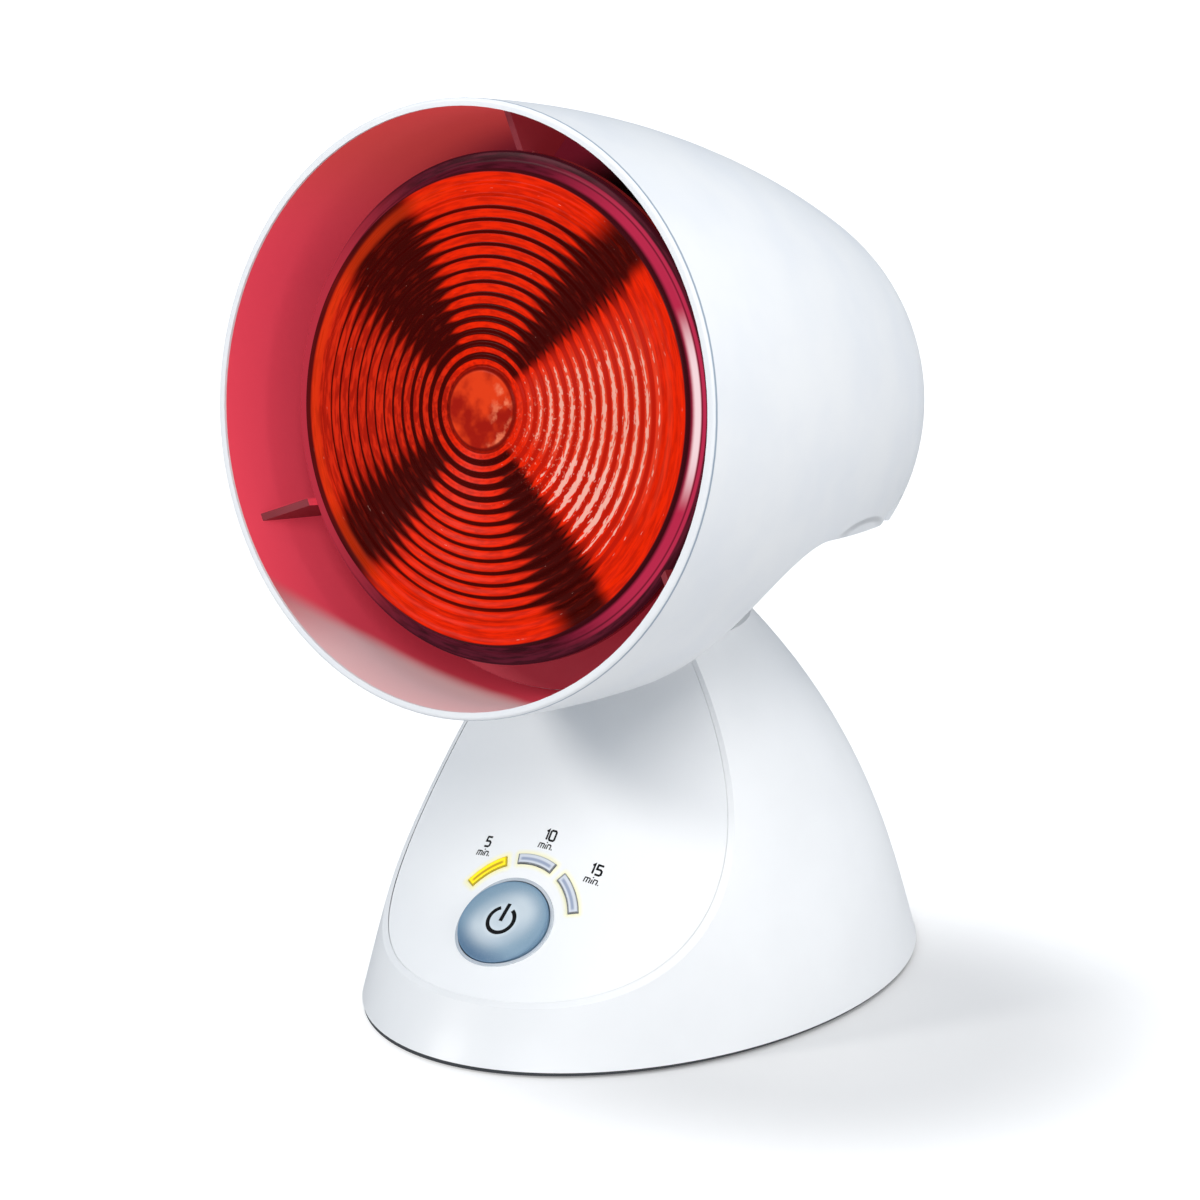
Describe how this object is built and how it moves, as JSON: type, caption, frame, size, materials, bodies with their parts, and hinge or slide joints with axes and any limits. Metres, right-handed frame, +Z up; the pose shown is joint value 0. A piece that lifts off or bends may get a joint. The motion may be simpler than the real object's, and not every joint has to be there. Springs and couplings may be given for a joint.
{
  "type": "infrared heat therapy lamp",
  "caption": "Table-top infrared heat lamp: tilting bell head with a red pressed-glass lamp on a domed base with start button and timer windows.",
  "frame": {"origin": "on the floor under the middle of the whole lamp's bounding box", "axes": "+Z up, the lamp looks towards -Y, +X to its left side as seen from behind"},
  "size_m": [0.1784, 0.2114, 0.2847],
  "materials": {
    "white_shell": "satin gloss moulding",
    "white_face": "gloss moulding",
    "cover_grey": "fine matt moulding",
    "silver_blue": "pearl paint under lacquer",
    "silver_trim": "bright vacuum metal",
    "window_lit": "lit diffuser",
    "window_clear": "silvery diffuser",
    "board_green": "solder mask",
    "black_plastic": "moulded",
    "led_yellow": "tinted resin",
    "capacitor_film": "resin case",
    "terminal_grey": "moulded",
    "fuse_glass": "clear tube",
    "screw_steel": "zinc plated",
    "plate_dark": "fine matt moulding",
    "foot_rubber": "moulded rubber",
    "bush_nylon": "natural nylon",
    "pressed_steel": "zinc plated sheet",
    "axle_steel": "ground bar",
    "red_lens": "pressed red glass",
    "red_bulb": "blown glass, silvered inside",
    "cap_brass": "bare",
    "clear_glass": "lamp glass",
    "tungsten": "drawn wire",
    "glazed_ceramic": "glazed ceramic"
  },
  "bodies": {
    "base": {"base_shell": "white_shell", "control_panel": "white_face", "button_bezel": "silver_trim", "indicator_window_five": "window_lit", "indicator_window_ten": "window_clear", "indicator_window_fifteen": "window_clear", "timer_board": "board_green", "tact_switch": "black_plastic", "indicator_leds": "led_yellow", "buzzer": "black_plastic", "board_screws": "screw_steel", "base_plate": "plate_dark", "rubber_feet": "foot_rubber", "base_screws": "screw_steel", "power_board": "board_green", "relay": "black_plastic", "capacitor": "capacitor_film", "terminal_block": "terminal_grey", "fuse": "fuse_glass", "cord_inlet": "foot_rubber", "power_board_screws": "screw_steel", "neck_knuckle": "white_shell", "knuckle_screws": "screw_steel", "axle_bush_right": "bush_nylon", "axle_bush_left": "bush_nylon"},
    "head": {"shade": "white_shell", "underside_cover": "cover_grey", "cover_screws": "screw_steel", "tilt_bracket": "pressed_steel", "bracket_screws": "screw_steel", "hinge_axle": "axle_steel", "axle_clip": "screw_steel", "friction_washer_right": "pressed_steel", "friction_washer_left": "pressed_steel", "hinge_cap_right": "white_shell", "hinge_cap_left": "white_shell", "lamp_lens": "red_lens", "lamp_bulb": "red_bulb", "lamp_screw_cap": "cap_brass", "lamp_contact": "cap_brass", "glass_stem": "clear_glass", "filament": "tungsten", "lampholder": "glazed_ceramic", "lampholder_thread_shell": "cap_brass", "lampholder_contact": "cap_brass", "socket_bracket": "pressed_steel", "strap_screws": "screw_steel", "holder_screws": "screw_steel"},
    "button": {"power_button": "silver_blue", "switch_plunger": "black_plastic"}
  },
  "joints": [
    {"name": "head_tilt", "type": "hinge", "parent": "base", "child": "head", "pos_m": [0, -0.00224, 0.136], "axis": [-1, 0, 0], "range_deg": [-10, 30]},
    {"name": "button_press", "type": "slide", "parent": "base", "child": "button", "axis": [0, 0.6515, -0.7586], "range_m": [0, 0.0008], "stiffness_N_per_m": 2000, "springref_m": -0.0004}
  ]
}
